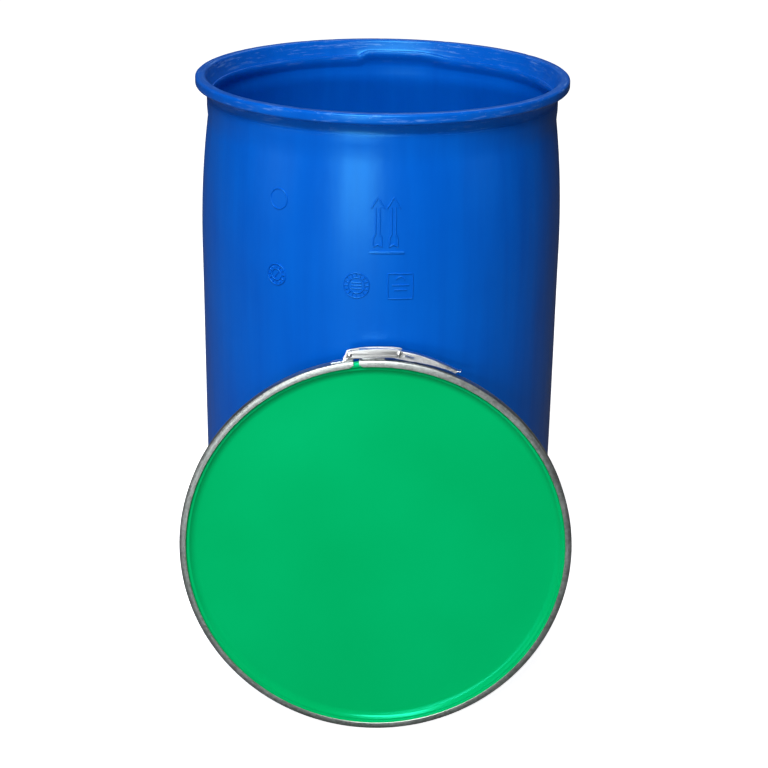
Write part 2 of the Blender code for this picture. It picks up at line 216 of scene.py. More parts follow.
DRUM_DEEP = (0.0, 0.096, 0.575, 1.0)
DRUM_LIGHT = (0.0, 0.122, 0.660, 1.0)
DRUM_SCUFF = (0.20, 0.42, 0.90, 1.0)
DRUM_SHEEN = (0.14, 0.72, 1.0, 1.0)
LID_DEEP = (0.0, 0.425, 0.118, 1.0)
LID_LIGHT = (0.0, 0.465, 0.138, 1.0)
LID_SHEEN = (0.03, 1.0, 0.70, 1.0)
GASKET_DEEP = (0.016, 0.016, 0.017, 1.0)
GASKET_LIGHT = (0.04, 0.04, 0.042, 1.0)
BAND_LIGHT = (0.48, 0.52, 0.51, 1.0)
BAND_DARK = (0.30, 0.33, 0.32, 1.0)
PRESSING_LIGHT = (0.76, 0.78, 0.79, 1.0)
PRESSING_DARK = (0.60, 0.62, 0.64, 1.0)
PLATE_LIGHT = (0.68, 0.70, 0.70, 1.0)
PLATE_DARK = (0.50, 0.52, 0.52, 1.0)
RIVET_LIGHT = (0.82, 0.83, 0.84, 1.0)
RIVET_DARK = (0.66, 0.67, 0.68, 1.0)
FLOOR_LIGHT = (0.92, 0.92, 0.92, 1.0)
FLOOR_DARK = (0.12, 0.12, 0.12, 1.0)
SCUFF_START = 0.040
SCUFF_FULL = 0.006


class Nodes:
    """Short way to write a node tree: add nodes, set their inputs and join them."""

    def __init__(self, name):
        self.material = bpy.data.materials.new(name)
        self.material.use_nodes = True
        self.tree = self.material.node_tree
        self.shader = self.tree.nodes["Principled BSDF"]
        self.place = self.add("ShaderNodeTexCoord").outputs["Object"]

    def add(self, kind, **values):
        node = self.tree.nodes.new(kind)
        for key, value in values.items():
            setattr(node, key, value)
        return node

    def put(self, socket, value):
        if isinstance(value, bpy.types.NodeSocket):
            self.tree.links.new(value, socket)
        else:
            socket.default_value = value

    def noise(
        self, scale, detail=3.0, roughness=0.5, stretch=(1.0, 1.0, 1.0), distortion=0.0, place=None
    ):
        mapping = self.add("ShaderNodeMapping")
        mapping.inputs["Scale"].default_value = stretch
        self.put(mapping.inputs["Vector"], place or self.place)
        texture = self.add("ShaderNodeTexNoise")
        self.put(texture.inputs["Vector"], mapping.outputs["Vector"])
        texture.inputs["Scale"].default_value = scale
        texture.inputs["Detail"].default_value = detail
        texture.inputs["Roughness"].default_value = roughness
        texture.inputs["Distortion"].default_value = distortion
        return texture.outputs["Fac"]

    def span(self, value, low, high, to_low, to_high):
        """Carries a value from one range to another, and holds it at the ends."""
        node = self.add("ShaderNodeMapRange")
        self.put(node.inputs["Value"], value)
        node.inputs["From Min"].default_value = low
        node.inputs["From Max"].default_value = high
        node.inputs["To Min"].default_value = to_low
        node.inputs["To Max"].default_value = to_high
        return node.outputs["Result"]

    def math(self, operation, first, second=0.0):
        node = self.add("ShaderNodeMath", operation=operation)
        self.put(node.inputs[0], first)
        self.put(node.inputs[1], second)
        return node.outputs["Value"]

    def mix(self, factor, first, second):
        node = self.add("ShaderNodeMix", data_type="RGBA")
        self.put(node.inputs["Factor"], factor)
        self.put(node.inputs["A"], first)
        self.put(node.inputs["B"], second)
        return node.outputs["Result"]

    def height_axis(self):
        split = self.add("ShaderNodeSeparateXYZ")
        self.put(split.inputs["Vector"], self.place)
        return split.outputs["Z"]

    def round_place(self, axis):
        """Place whose Z grows with height and radius, so that stretched noise runs round an axis."""
        split = self.add("ShaderNodeSeparateXYZ")
        self.put(split.inputs["Vector"], self.place)
        x = self.math("SUBTRACT", split.outputs["X"], axis.x)
        y = self.math("SUBTRACT", split.outputs["Y"], axis.y)
        square = self.math("ADD", self.math("MULTIPLY", x, x), self.math("MULTIPLY", y, y))
        out = self.math("MULTIPLY", self.math("SQRT", square), 1.7)
        join = self.add("ShaderNodeCombineXYZ")
        self.put(join.inputs["X"], x)
        self.put(join.inputs["Y"], y)
        self.put(join.inputs["Z"], self.math("ADD", split.outputs["Z"], out))
        return join.outputs["Vector"]

    def bump(self, height, distance, strength=1.0, normal=None):
        node = self.add("ShaderNodeBump")
        node.inputs["Strength"].default_value = strength
        node.inputs["Distance"].default_value = distance
        self.put(node.inputs["Height"], height)
        if normal is not None:
            self.put(node.inputs["Normal"], normal)
        return node.outputs["Normal"]

    def finish(self, colour, roughness, normal=None, **constants):
        self.put(self.shader.inputs["Base Color"], colour)
        self.put(self.shader.inputs["Roughness"], roughness)
        if normal is not None:
            self.put(self.shader.inputs["Normal"], normal)
        for key, value in constants.items():
            self.shader.inputs[key.replace("_", " ")].default_value = value
        return self.material


def drum_plastic():
    """Blow-moulded polyethylene: flow streaks down the wall, soft mottling, scuffs at the rim."""
    n = Nodes("drum_blue_plastic")
    streaks = n.noise(38.0, 4.0, 0.6, (1.0, 1.0, 0.05))
    mottle = n.noise(5.0, 3.0, 0.5)
    blend = n.math("ADD", n.math("MULTIPLY", streaks, 0.5), n.math("MULTIPLY", mottle, 0.5))
    colour = n.mix(n.span(blend, 0.35, 0.65, 0.0, 1.0), DRUM_DEEP, DRUM_LIGHT)
    spots = n.noise(150.0, 5.0, 0.75, (1.0, 1.0, 2.5), 0.6)
    rubs = n.noise(210.0, 5.0, 0.7, (0.10, 0.10, 1.0), 0.3, n.round_place(DRUM_AXIS))
    spots = n.span(spots, 0.62, 0.70, 0.0, 0.8)
    rubs = n.span(rubs, 0.55, 0.70, 0.0, 0.65)
    start = DRUM_HEIGHT - SCUFF_START
    full = DRUM_HEIGHT - SCUFF_FULL
    near_rim = n.span(n.height_axis(), start, full, 0.0, 1.0)
    scuff = n.math("MULTIPLY", n.math("MAXIMUM", spots, rubs), near_rim)
    colour = n.mix(scuff, colour, DRUM_SCUFF)
    roughness = n.math("ADD", n.span(mottle, 0.3, 0.7, 0.27, 0.35), n.math("MULTIPLY", scuff, 0.25))
    fine = n.bump(n.noise(900.0, 2.0, 0.5), 0.00006, 0.5)
    lines = n.bump(n.noise(60.0, 5.0, 0.6, (1.0, 1.0, 0.03)), 0.0006, 0.5, fine)
    waves = n.bump(n.noise(14.0, 2.0, 0.4, (1.0, 1.0, 0.5)), 0.003, 0.5, lines)
    return n.finish(colour, roughness, waves, Specular_Tint=DRUM_SHEEN, IOR=1.65)


def lid_plastic():
    """Injection-moulded green lid: very even, with a fine spark-eroded grain."""
    n = Nodes("lid_green_plastic")
    mottle = n.noise(4.0, 2.0, 0.5)
    colour = n.mix(n.span(mottle, 0.3, 0.7, 0.0, 1.0), LID_DEEP, LID_LIGHT)
    grain = n.bump(n.noise(1500.0, 2.0, 0.6), 0.00005, 0.6)
    waves = n.bump(n.noise(9.0, 2.0, 0.4), 0.003, 0.35, grain)
    roughness = n.span(mottle, 0.3, 0.7, 0.16, 0.22)
    return n.finish(colour, roughness, waves, Specular_Tint=LID_SHEEN, IOR=1.55)


def gasket_rubber():
    """Matt black rubber."""
    n = Nodes("gasket_rubber")
    speck = n.noise(700.0, 3.0, 0.6)
    colour = n.mix(n.span(speck, 0.4, 0.7, 0.0, 1.0), GASKET_DEEP, GASKET_LIGHT)
    return n.finish(colour, n.span(speck, 0.3, 0.7, 0.6, 0.8), n.bump(speck, 0.0001, 0.5))


def galvanised(name, light, dark, smooth, dull):
    """Zinc-coated sheet: faint spangle, dull patches and a fine grain."""
    n = Nodes(name)
    voronoi = n.add("ShaderNodeTexVoronoi")
    n.put(voronoi.inputs["Vector"], n.place)
    voronoi.inputs["Scale"].default_value = 260.0
    spangle = n.add("ShaderNodeSeparateColor")
    n.put(spangle.inputs["Color"], voronoi.outputs["Color"])
    patches = n.noise(22.0, 4.0, 0.6)
    flakes = n.math("MULTIPLY", spangle.outputs["Red"], 0.35)
    tone = n.math("ADD", flakes, n.math("MULTIPLY", patches, 0.65))
    colour = n.mix(n.span(tone, 0.25, 0.75, 0.0, 1.0), dark, light)
    roughness = n.span(n.math("ADD", tone, n.math("MULTIPLY", patches, 0.3)), 0.3, 1.0, smooth, dull)
    normal = n.bump(n.noise(420.0, 3.0, 0.6), 0.0001, 0.35)
    return n.finish(colour, roughness, normal, Metallic=1.0)


def brushed(name):
    """Link plates, ground along their length."""
    n = Nodes(name)
    lines = n.noise(90.0, 6.0, 0.7, (0.12, 14.0, 14.0))
    colour = n.mix(n.span(lines, 0.3, 0.7, 0.0, 1.0), PLATE_DARK, PLATE_LIGHT)
    roughness = n.span(lines, 0.3, 0.7, 0.40, 0.54)
    return n.finish(colour, roughness, n.bump(lines, 0.0002, 0.6), Metallic=1.0)


def rivet_metal():
    """Bright zinc-plated rivets."""
    n = Nodes("rivet_steel")
    marks = n.noise(500.0, 4.0, 0.7)
    colour = n.mix(n.span(marks, 0.35, 0.65, 0.0, 1.0), RIVET_DARK, RIVET_LIGHT)
    roughness = n.span(marks, 0.3, 0.7, 0.22, 0.36)
    return n.finish(colour, roughness, n.bump(marks, 0.0001, 0.3), Metallic=1.0)


def floor_paint():
    """White sweep; it is lit brighter for the lens than for what it reflects back."""
    n = Nodes("studio_floor")
    lens = n.add("ShaderNodeLightPath").outputs["Is Camera Ray"]
    n.shader.inputs["Emission Color"].default_value = (1.0, 1.0, 1.0, 1.0)
    n.put(n.shader.inputs["Emission Strength"], n.math("MULTIPLY", lens, 0.9))
    return n.finish(n.mix(lens, FLOOR_DARK, FLOOR_LIGHT), 0.9)


# ---------------------------------------------------------------- the drum

WALL = 0.0045
BODY_RADIUS = RIM_RADIUS - 0.004
WALL_LOW = 0.06
WALL_HIGH = 0.66
SHOULDER_START = 0.680
SHOULDER_CURVE = 0.326
STEP_HEIGHT = 0.920
STEP_RADIUS = 0.2765
NECK_RADIUS = 0.2750
BASE_CORNER = 0.022
FOOT_INNER = 0.250
BASE_LIFT = 0.014
LEDGE_RADIUS = 0.267
LEDGE_TOP = 0.930
ROLL_SIZE = 0.017
ROLL_INNER_ROUND = 0.0050
ROLL_OUTER_ROUND = 0.0045
ROLL_LOW_ROUND = 0.0050
PINCH_ENDS = ((9.5, 6.0), (-27.0, -12.0))
PINCH_RISE = 0.0075
PINCH_IN = 0.0020
PINCH_GROOVE = 0.0022
# inside of the neck: radius, height, and its share of the pinch's rise
NECK_INSIDE = (
    (0.2722, 0.9075, 0.3), (0.2705, 0.9120, 0.6), (LEDGE_RADIUS + 0.0012, 0.9175, 0.85),
)
ROLL_INSIDE = ((0.2732, 0.9405), (0.2755, 0.9458))
NICK_COUNT = 70
NICK_REACH = 3
RIPPLE_DEPTH = 0.0006
RIPPLE_START = 0.03
RIPPLE_RADIUS = 0.2


def wall_radius(height):
    """Outer radius of the drum's wall, which draws in towards the shoulder."""
    return BODY_RADIUS - SHOULDER_CURVE * max(0.0, height - SHOULDER_START) ** 2


def rim_section():
    """Rolled rim, from its inner side over the top and round to its underside."""
    outer = RIM_RADIUS
    inner = RIM_RADIUS - ROLL_SIZE
    top = DRUM_HEIGHT
    low = DRUM_HEIGHT - ROLL_SIZE
    section = arc((inner + ROLL_INNER_ROUND, top - ROLL_INNER_ROUND), ROLL_INNER_ROUND, 165, 95, 6)
    section += arc((outer - ROLL_OUTER_ROUND, top - ROLL_OUTER_ROUND), ROLL_OUTER_ROUND, 85, 5, 7)
    section += arc((outer - ROLL_LOW_ROUND, low + 0.0055), ROLL_LOW_ROUND, -5, -85, 7)
    return section


def ledge_section(lift):
    """The ledge inside the neck, from the wall up to the roll; lift is how far it is pinched."""
    rise = PINCH_RISE * lift
    groove = PINCH_GROOVE * lift
    top = LEDGE_TOP + rise
    radius = LEDGE_RADIUS - PINCH_IN * lift
    section = [(r, z + share * rise) for r, z, share in NECK_INSIDE]
    section += [(radius, 0.9215 + rise), (radius - 0.0002, 0.9255 + rise)]
    section += [(radius + 0.0002, top - 0.0016), (radius + 0.0009, top - 0.0003)]
    section += [(radius + 0.0025, top), (0.2696 + groove, top + 0.0006 - groove * 0.2)]
    section += [(0.2706 + groove, top + 0.0018), *ROLL_INSIDE]
    return section


def drum_inside(lift):
    """Inner side of the drum, from the middle of its floor up to the roll."""
    floor = BASE_LIFT + WALL
    inner = [(0.0, floor + 0.002), (0.12, floor + 0.0012)]
    inner += [(FOOT_INNER - 0.024, floor + 0.0002), (FOOT_INNER - 0.016, floor - 0.002)]
    inner += [(FOOT_INNER - 0.006, WALL + 0.002), (FOOT_INNER, WALL)]
    inner += arc((BODY_RADIUS - BASE_CORNER, BASE_CORNER), BASE_CORNER - WALL, -90, 0, 8)
    inner += [(wall_radius(z) - WALL, z) for z in np.linspace(WALL_LOW, WALL_HIGH, 16)]
    inner += [(wall_radius(z) - WALL, z) for z in np.linspace(SHOULDER_START, 0.900, 14)]
    return inner + ledge_section(lift)


def drum_outside():
    """Outer side of the drum, from under the roll down to the middle of its base."""
    roll_low = DRUM_HEIGHT - ROLL_SIZE
    outer = [(NECK_RADIUS + 0.0012, roll_low - 0.0002), (NECK_RADIUS + 0.0002, roll_low - 0.0012)]
    outer += [(NECK_RADIUS, STEP_HEIGHT + 0.0035), (NECK_RADIUS + 0.0002, STEP_HEIGHT + 0.0012)]
    outer += [(STEP_RADIUS - 0.0006, STEP_HEIGHT + 0.0005), (STEP_RADIUS, STEP_HEIGHT - 0.0002)]
    outer += [(STEP_RADIUS + 0.0001, STEP_HEIGHT - 0.0020), (STEP_RADIUS + 0.0002, 0.905)]
    outer += [(wall_radius(z), z) for z in np.linspace(0.890, SHOULDER_START, 16)]
    outer += [(BODY_RADIUS, z) for z in np.linspace(WALL_HIGH, WALL_LOW, 20)]
    outer += arc((BODY_RADIUS - BASE_CORNER, BASE_CORNER), BASE_CORNER, 0, -90, 10)
    outer += [(FOOT_INNER + 0.002, 0.0), (FOOT_INNER, 0.0004)]
    outer += [(FOOT_INNER - 0.012, BASE_LIFT - 0.003), (FOOT_INNER - 0.020, BASE_LIFT - 0.0004)]
    outer += [(0.12, BASE_LIFT + 0.0008), (0.0, BASE_LIFT + 0.0015)]
    return outer


def drum_profile(angle):
    """Whole drum section at an angle; the lip's ledge is pinched for a stretch at the back."""
    back = math.degrees(angle) - 90.0
    lift = 1.0
    for low, high in PINCH_ENDS:
        lift *= smoothstep(low, high, back)
    return drum_inside(lift) + rim_section() + drum_outside()


def rim_nicks():
    """Places, depths and sizes of the nicks that handling leaves in the rim."""
    rng = random.Random(7)
    nicks = []
    for _ in range(NICK_COUNT):
        at = rng.uniform(0.0, 2 * math.pi)
        depth = rng.uniform(0.0002, 0.0007)
        size = rng.uniform(0.0020, 0.0060)
        radius = rng.choice((RIM_RADIUS - 0.001, RIM_RADIUS - 0.006, RIM_RADIUS - 0.015))
        height = DRUM_HEIGHT - rng.uniform(0.0, 0.004)
        nicks.append((Vector((radius * math.cos(at), radius * math.sin(at), height)), depth, size))
    return nicks


def wobble(obj):
    """Cooling leaves a blow-moulded wall very slightly out of round, and its rim has nicks."""
    nicks = rim_nicks()
    for vertex in obj.data.vertices:
        place = vertex.co - DRUM_AXIS
        radius = math.hypot(place.x, place.y)
        if radius < RIPPLE_RADIUS or place.z < RIPPLE_START:
            continue
        low_fade = smoothstep(RIPPLE_START, 0.20, place.z)
        fade = low_fade * (1.0 - 0.75 * smoothstep(0.88, 0.93, place.z))
        ripple = noise.noise(Vector((place.x * 7, place.y * 7, place.z * 4)))
        out = Vector((place.x / radius, place.y / radius, 0.0))
        vertex.co -= out * (RIPPLE_DEPTH * fade * (0.6 + ripple))
        if place.z > DRUM_HEIGHT - ROLL_SIZE - 0.001:
            for centre, depth, size in nicks:
                gap = (place - centre).length
                if gap < NICK_REACH * size:
                    vertex.co.z -= depth * math.exp(-((gap / size) ** 2))


def on_wall(along, height, proud):
    """Point on the drum's front wall; along is the arc to the right of the middle."""
    angle = along / BODY_RADIUS - math.pi / 2
    radius = wall_radius(height) + proud
    return DRUM_AXIS + Vector((radius * math.cos(angle), radius * math.sin(angle), height))


def relief(name, strokes, thickness, proud, surface):
    """Raised beads on the wall, one for each stroke of (along, height) points."""
    curve = bpy.data.curves.new(name, "CURVE")
    curve.dimensions = "3D"
    curve.bevel_depth = thickness
    curve.bevel_resolution = 2
    curve.use_fill_caps = True
    for points, closed in strokes:
        spline = curve.splines.new("POLY")
        spline.points.add(len(points) - 1)
        for point, (along, height) in zip(spline.points, points):
            point.co = (*on_wall(along, height, proud - thickness), 1.0)
        spline.use_cyclic_u = closed
    curve.materials.append(surface)
    obj = bpy.data.objects.new(name, curve)
    bpy.context.scene.collection.objects.link(obj)
    return obj


def circle_stroke(along, height, radius, count=40):
    """Closed circle on the wall."""
    return (arc((along, height), radius, 0, 360 - 360 / count, count - 1), True)


def line_stroke(*corners, step=0.004):
    """Broken line through the corners, with extra points so that it follows the round wall."""
    points = [corners[0]]
    for first, last in zip(corners, corners[1:]):
        count = max(1, round(math.dist(first, last) / step))
        for i in range(1, count + 1):
            along = first[0] + (last[0] - first[0]) * i / count
            height = first[1] + (last[1] - first[1]) * i / count
            points.append((along, height))
    return (points, False)


def spokes(centre, count, inner, outer):
    """Short strokes spread round a centre, the first one pointing up."""
    strokes = []
    for spoke in range(count):
        turn = 2 * math.pi * spoke / count
        x, y = math.sin(turn), math.cos(turn)
        ends = [(centre[0] + r * x, centre[1] + r * y) for r in (inner, outer)]
        strokes.append(line_stroke(*ends))
    return strokes


def level_bar(centre, half, height):
    return line_stroke((centre - half, height), (centre + half, height))


# places on the drum's front as (arc to the right of the middle, height)
ARROWS = (-0.0027, 0.0208)
ARROW_LOW = 0.756
ARROW_HIGH = 0.8315
ARROW_HEAD = (0.0098, 0.0165)
ARROW_HALF = 0.0030
ARROW_TAIL = 0.0062
GROUND_LINE = (-0.0145, 0.0367)
GROUND_HEIGHTS = (0.7490, 0.7506)
PLAIN_CLOCK = (-0.1606, 0.8157)
TICKED_CLOCK = (-0.1621, 0.7003)
ROUND_MARK = (-0.0335, 0.6985)
SQUARE_SIDES = (0.0135, 0.0500)
SQUARE_HEIGHTS = (0.6790, 0.7175)


def upright_arrow(along):
    """Outlined arrow with a chevron head and a notched tail."""
    head, chevron = ARROW_HEAD
    neck = ARROW_HIGH - 0.0150
    waist = ARROW_LOW + 0.021
    hip = ARROW_LOW + 0.016
    foot = ARROW_LOW + 0.002
    notch = ARROW_LOW + 0.006
    left, right = along - ARROW_HALF, along + ARROW_HALF
    tail_left, tail_right = along - ARROW_TAIL, along + ARROW_TAIL
    wings = ARROW_HIGH - chevron
    return [
        line_stroke((along - head, wings), (along, ARROW_HIGH), (along + head, wings)),
        line_stroke((left, neck), (left, waist)),
        line_stroke((right, neck), (right, waist)),
        line_stroke(
            (left, waist), (tail_left, hip), (tail_left, foot), (along, notch),
            (tail_right, foot), (tail_right, hip), (right, waist),
        ),
    ]


def arrow_marks():
    """Two upright arrows over a double ground line."""
    strokes = []
    for along in ARROWS:
        strokes += upright_arrow(along)
    start, end = GROUND_LINE
    strokes += [line_stroke((start, height), (end, height)) for height in GROUND_HEIGHTS]
    return strokes


def clock_marks():
    """Two plain date clocks: rings, one of them with ticks and a pointer but no figures."""
    along, height = TICKED_CLOCK
    strokes = [circle_stroke(*PLAIN_CLOCK, 0.0150)]
    strokes += [circle_stroke(*TICKED_CLOCK, 0.0160), circle_stroke(*TICKED_CLOCK, 0.0085)]
    strokes += spokes(TICKED_CLOCK, 12, 0.0108, 0.0138)
    strokes.append(line_stroke((along - 0.003, height - 0.004), (along + 0.003, height + 0.004)))
    return strokes


def panel_marks():
    """A round mark and a square mark with plain generic patterns."""
    along, height = ROUND_MARK
    strokes = [circle_stroke(*ROUND_MARK, 0.0192, 48), circle_stroke(*ROUND_MARK, 0.0120, 36)]
    strokes += spokes(ROUND_MARK, 16, 0.0132, 0.0180)
    strokes += [level_bar(along, 0.0075, height + offset) for offset in (-0.0045, 0.0, 0.0045)]
    left, right = SQUARE_SIDES
    low, high = SQUARE_HEIGHTS
    strokes.append(line_stroke((left, low), (left, high), (right, high), (right, low), (left, low)))
    middle = (left + right) / 2
    half = (right - left) / 2
    strokes.append((arc((middle, 0.7060), 0.0068, 20, 160, 10), False))
    strokes.append(level_bar(middle, half - 0.006, 0.7000))
    strokes.append(level_bar(middle, half - 0.009, 0.6925))
    return strokes


def make_drum():
    plastic = drum_plastic()
    shell = revolve("drum_shell", drum_profile, 320, plastic, Matrix.Translation(DRUM_AXIS), 50.0)
    wobble(shell)
    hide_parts("drum_body")
    pieces = [shell]
    pieces.append(relief("moulded_arrows", arrow_marks(), 0.0013, 0.0012, plastic))
    pieces.append(relief("moulded_clocks", clock_marks(), 0.0011, 0.0009, plastic))
    pieces.append(relief("moulded_panels", panel_marks(), 0.0010, 0.0008, plastic))
    for piece in pieces:
        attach(piece, "drum")


# ---------------------------------------------------------------- the lid

SKIRT_DEPTH = 0.0100
CROWN_START = 0.23
GASKET_INNER = LID_RADIUS - 0.0065
GASKET_OUTER = LID_RADIUS - 0.0036
GASKET_ROUND = 0.0012
GASKET_GAP = 0.0003


def lid_profile(angle):
    """Top of the lid from its middle outwards, skirt, underside; heights from mid-ring."""
    face = LID_FACE
    panel = face - LID_RECESS
    step = face - STEP_DROP
    low = panel - LID_SHEET
    brim = LID_RADIUS - LID_ROUND
    hem = face - SKIRT_DEPTH
    top = [(0.0, panel + PANEL_CROWN), (0.06, panel + PANEL_CROWN)]
    top += [(0.12, panel + 0.0006), (0.18, panel + 0.0003)]
    wall = [(CROWN_START, panel + 0.0001, 0.0), (PANEL_RADIUS, panel, PANEL_FILLET)]
    wall += [(STEP_INNER, step, 0.0010), (STEP_OUTER, step, 0.0009)]
    wall += [(BEAD_INNER, face, 0.0010), (brim, face, 0.0)]
    top += rounded(wall, 8)
    top += arc((brim, face - LID_ROUND), LID_ROUND, 90, 0, 8)
    skirt = [(LID_RADIUS, hem + 0.0005), (LID_RADIUS - 0.0003, hem)]
    skirt += [(LID_RADIUS - 0.0018, hem), (LID_RADIUS - 0.0020, hem + 0.0004)]
    skirt += arc((brim, face - LID_ROUND), LID_ROUND - LID_SHEET, 0, 90, 6)
    inner = [(brim, face - LID_SHEET, 0.0), (BEAD_INNER, face - LID_SHEET, 0.0008)]
    inner += [(STEP_OUTER, step - LID_SHEET, 0.0008), (STEP_INNER + 0.0020, step - LID_SHEET, 0.0008)]
    inner += [(PANEL_RADIUS + 0.0020, low, 0.0060), (CROWN_START, low, 0.0)]
    under = rounded(inner) + [(0.18, low + 0.0003), (0.0, low + PANEL_CROWN)]
    return top + skirt + under


def gasket_profile(angle):
    """Round-cornered strip under the lid's rim."""
    top = LID_FACE - LID_SHEET - GASKET_GAP
    middle = top - 0.0018
    section = [(GASKET_INNER + 0.0004, top), (GASKET_OUTER - 0.0008, top)]
    section += arc((GASKET_OUTER - GASKET_ROUND, middle), GASKET_ROUND, 60, -90, 6)
    section += arc((GASKET_INNER + GASKET_ROUND, middle), GASKET_ROUND, -90, -240, 6)
    return section + section[:1]


def make_lid():
    lid = revolve("lid_shell", lid_profile, 288, lid_plastic(), RING_FRAME, 50.0)
    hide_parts("lid")
    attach(lid, "lid")
    gasket = revolve("gasket_ring", gasket_profile, 192, gasket_rubber(), RING_FRAME)
    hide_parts("lid_gasket")
    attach(gasket, "lid")


# ---------------------------------------------------------------- the clamp ring

RING_SHEET = 0.0012
FLANGE_RADIUS = RING_RADIUS - 0.0100
RING_BEND = 0.0068
RING_BEND_DEPTH = 0.0032
END_ROUND = 0.0088
LEFT_END = -7.05
RIGHT_END = -5.40
RING_STEP = 1.5
END_STEPS = (0.05, 0.15, 0.3, 0.5, 0.75, 1.0)


def ring_section(flange):
    """C section of the ring as (radius, height across the ring), outside then inside."""
    top = RING_HALF_WIDTH
    hollow = top - RING_SHEET
    side = RING_RADIUS - RING_BEND
    height = top - RING_BEND_DEPTH
    tight = RING_BEND - RING_SHEET
    tight_depth = RING_BEND_DEPTH - RING_SHEET
    bend = arc((0.0, 0.0), 1.0, 88, 4, 10)
    outside = [(flange, top - 0.0005), (flange + 0.0005, top - 0.0001)]
    outside += [(side + RING_BEND * x, height + RING_BEND_DEPTH * z) for x, z in bend]
    inside = [(flange, hollow + 0.0002), (flange + 0.0006, hollow)]
    inside += [(side + tight * x, height + tight_depth * z) for x, z in bend]
    return outside + flipped(outside) + [(r, -z) for r, z in inside] + inside[::-1]


def flange_at(angle, end):
    """The flanges' corners are cut round near the ring's free end."""
    near = abs(math.radians(angle - end)) * RING_RADIUS
    if near >= END_ROUND:
        return FLANGE_RADIUS
    reach = END_ROUND - near
    return FLANGE_RADIUS + END_ROUND - math.sqrt(END_ROUND**2 - reach**2)


def make_ring_half(name, foot_angle, end, surface, nodes):
    """One side of the ring from its foot up to its free end."""
    steps = round(abs(end - foot_angle) / RING_STEP)
    angles = [foot_angle + (end - foot_angle) * i / steps for i in range(steps + 1)]
    angles += [end + math.copysign(offset, foot_angle - end) for offset in END_STEPS]
    low, high = sorted((foot_angle, end))
    angles = sorted((a for a in angles if low <= a <= high), reverse=end < foot_angle)
    sections = []
    for angle in angles:
        section = ring_section(flange_at(angle, end))
        sections.append([(*on_ring(r, angle), z) for r, z in section])
    mesh = sweep_mesh(name, sections, False)
    mesh.transform(RING_FRAME)
    ring = add_object(name, mesh, surface, 35.0)
    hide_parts(*nodes)
    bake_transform(ring)


# ---------------------------------------------------------------- the lever mechanism

# points as (radius, angle from the top in degrees), or (angle, radius) in the lever's two lines
PIVOT_A = (0.3075, -7.83)
PIVOT_B = (0.3066, -4.57)
PIVOT_C = (0.3095, 5.75)
SHEET = 0.0015
EDGE_ROUND = 0.0003
LINK_EDGE_ROUND = 0.00035
BRACKET_BASE = 0.2988
PIN_RADIUS = 0.0025
HOLE_RADIUS = 0.0028
CUTTER_REACH = 0.03
SHARP_ANGLE = 38.0
HINGE_BRACKET_HALF = 0.0064
LEVER_BRACKET_HALF = 0.0044
LEVER_HALF = 0.0062
LINK_INNER = 0.0067
LINK_OUTER = 0.0079
LINK_HALF_HEIGHTS = (0.0058, 0.0063, 0.0065, 0.0065, 0.0064, 0.0061)
LEVER_TOPS = (
    (-5.0, 0.3140), (-2.0, 0.3140), (2.0, 0.3141), (6.0, 0.3140), (8.5, 0.3136), (11.0, 0.3127),
    (14.0, 0.3112), (17.2, 0.3094), (19.4, 0.3083), (21.0, 0.3073), (22.8, 0.3068),
)
LEVER_LOWS = (
    (-5.0, 0.3052), (-4.2, 0.3024), (4.4, 0.3023), (6.4, 0.3012), (8.5, 0.3005), (10.5, 0.3006),
    (13.5, 0.3014), (17.0, 0.3020), (21.3, 0.3024), (22.3, 0.3016), (22.8, 0.3044),
)
LEVER_STATIONS = 57
LEVER_LEAST_DEPTH = 0.0018
LEVER_BEND = 0.0022
LIP_RADIUS = 0.0042
LIP_TURN = 62.0
LIP_STEPS = 10
LIP_DEPTH = 0.0016
LIP_TAPER = 0.002
SEAL_SLOT = ((0.3068, 7.8), (0.3054, 10.0))
SEAL_SLOT_HALF = 0.0018
SEAL_SLOT_CUT = 0.006
SEAL_SLOT_LOWS = (0.004, -0.010)
HEAD_HEIGHT = 0.0016
HEAD_GAP = 0.0003
LINK_HEAD_RADIUS = 0.0042
END_HEAD_RADIUS = 0.0039


def outline_mesh(name, loops, low, high):
    """Flat outline with its holes, as a solid between two heights of the ring's frame."""
    curve = bpy.data.curves.new(name, "CURVE")
    curve.dimensions = "2D"
    curve.fill_mode = "BOTH"
    curve.extrude = (high - low) / 2
    for loop in loops:
        spline = curve.splines.new("POLY")
        spline.points.add(len(loop) - 1)
        for point, (x, y) in zip(spline.points, loop):
            point.co = (x, y, 0.0, 1.0)
        spline.use_cyclic_u = True
    source = bpy.data.objects.new(name, curve)
    bpy.context.scene.collection.objects.link(source)
    bpy.context.view_layer.update()
    evaluated = source.evaluated_get(bpy.context.evaluated_depsgraph_get())
    mesh = bpy.data.meshes.new_from_object(evaluated)
    bpy.data.objects.remove(source, do_unlink=True)
    work = bmesh.new()
    work.from_mesh(mesh)
    bmesh.ops.remove_doubles(work, verts=work.verts, dist=OUTLINE_MERGE)
    bmesh.ops.translate(work, verts=work.verts, vec=(0.0, 0.0, (low + high) / 2))
    bmesh.ops.recalc_face_normals(work, faces=work.faces)
    work.to_mesh(mesh)
    work.free()
    mesh.materials.clear()
    mesh.name = name
    return mesh


def apply_modifiers(obj):
    bpy.context.view_layer.update()
    evaluated = obj.evaluated_get(bpy.context.evaluated_depsgraph_get())
    mesh = bpy.data.meshes.new_from_object(evaluated)
    obj.modifiers.clear()
    obj.data = mesh


